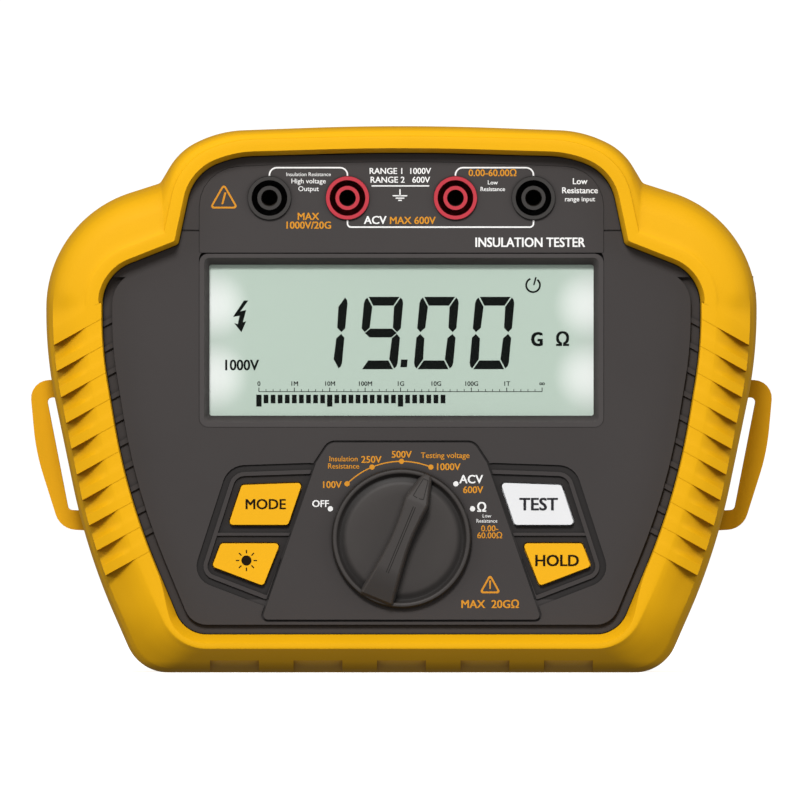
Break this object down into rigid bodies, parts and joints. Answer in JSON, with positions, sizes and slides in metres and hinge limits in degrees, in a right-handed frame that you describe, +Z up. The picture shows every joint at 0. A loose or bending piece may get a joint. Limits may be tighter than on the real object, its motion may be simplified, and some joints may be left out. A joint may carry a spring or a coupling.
{
  "type": "insulation resistance tester",
  "caption": "Portable insulation resistance tester with a flared yellow rubber bumper, wide display, shrouded test sockets, rotary selector, keys and side strap loops.",
  "frame": {"origin": "on the base, below the centre of the body, midway between its front and back", "axes": "+X to the right of someone facing the panel, +Y from the panel to the battery cover, +Z up"},
  "size_m": [0.2038, 0.075, 0.1499],
  "materials": {
    "bumper": "soft moulded skin, fine matte grain",
    "case": "matte dark grey moulding",
    "panel": "matte dark grey moulding with printed legends",
    "window": "clear polished window",
    "lcd": "pale grey-green display",
    "light_guide": "milky white",
    "silicone": "silicone",
    "socket_black": "satin black",
    "socket_red": "satin red",
    "brass": "plated",
    "knob": "satin dark grey moulding",
    "rotor": "natural acetal",
    "steel": "zinc plated",
    "key_yellow": "satin yellow",
    "key_white": "satin white",
    "board": "green solder mask",
    "component_black": "black",
    "component_blue": "blue",
    "fuse_glass": "ceramic or glass tube",
    "cell": "plain sleeve",
    "wire_red": "insulation",
    "wire_black": "insulation"
  },
  "bodies": {
    "case": {"bumper": "bumper", "strap_loop_left": "bumper", "strap_loop_right": "bumper", "front_case": "case", "rear_case": "case", "case_screws": "steel", "terminal_panel": "panel", "display_bezel": "panel", "display_window": "window", "lcd_glass": "lcd", "lcd_backlight": "light_guide", "lcd_connector_strips": "silicone", "lcd_frame": "light_guide", "socket_output_black": "socket_black", "socket_output_red": "socket_red", "socket_input_red": "socket_red", "socket_input_black": "socket_black", "contact_output_black": "brass", "contact_output_red": "brass", "contact_input_red": "brass", "contact_input_black": "brass", "detent_ring": "rotor", "key_dome_mode": "silicone", "key_dome_backlight": "silicone", "key_dome_test": "silicone", "key_dome_hold": "silicone", "main_board": "board", "board_screws": "steel", "hv_transformer": "component_black", "hv_capacitors": "component_blue", "relays": "component_blue", "chips": "component_black", "fuse": "fuse_glass", "fuse_clips": "brass", "buzzer": "component_black", "battery_cells": "cell", "battery_spring_contacts": "steel", "battery_plate_contacts": "steel", "battery_lead_red": "wire_red", "battery_lead_black": "wire_black", "power_inlet": "component_black", "inlet_hinge_pin": "steel"},
    "selector": {"selector_knob": "knob", "selector_screw": "steel", "switch_rotor": "rotor", "rotor_wipers": "brass", "detent_balls": "steel", "detent_springs": "steel"},
    "key_mode": {"key_mode": "key_yellow"},
    "key_backlight": {"key_backlight": "key_yellow"},
    "key_test": {"key_test": "key_white"},
    "key_hold": {"key_hold": "key_yellow"},
    "inlet_cover": {"inlet_cover": "bumper"},
    "battery_cover": {"battery_cover": "case", "battery_cover_screws": "steel"}
  },
  "joints": [
    {"name": "selector_turn", "type": "hinge", "parent": "case", "child": "selector", "pos_m": [0, -0.0311, 0.0369], "axis": [0, -1, 0], "range_deg": [-45, 90]},
    {"name": "key_mode_press", "type": "slide", "parent": "case", "child": "key_mode", "axis": [0, 1, 0], "range_m": [0, 0.0012], "stiffness_N_per_m": 1500, "springref_m": -0.0005, "deforming": ["key_dome_mode"]},
    {"name": "key_backlight_press", "type": "slide", "parent": "case", "child": "key_backlight", "axis": [0, 1, 0], "range_m": [0, 0.0012], "stiffness_N_per_m": 1500, "springref_m": -0.0005, "deforming": ["key_dome_backlight"]},
    {"name": "key_test_press", "type": "slide", "parent": "case", "child": "key_test", "axis": [0, 1, 0], "range_m": [0, 0.0012], "stiffness_N_per_m": 1500, "springref_m": -0.0005, "deforming": ["key_dome_test"]},
    {"name": "key_hold_press", "type": "slide", "parent": "case", "child": "key_hold", "axis": [0, 1, 0], "range_m": [0, 0.0012], "stiffness_N_per_m": 1500, "springref_m": -0.0005, "deforming": ["key_dome_hold"]},
    {"name": "inlet_cover_swing", "type": "hinge", "parent": "case", "child": "inlet_cover", "pos_m": [0.0959, -0.0025, 0.0997], "axis": [0, 0, 1], "range_deg": [0, 95]},
    {"name": "battery_cover_lift", "type": "slide", "parent": "case", "child": "battery_cover", "axis": [0, 1, 0], "range_m": [0, 0.03]}
  ]
}
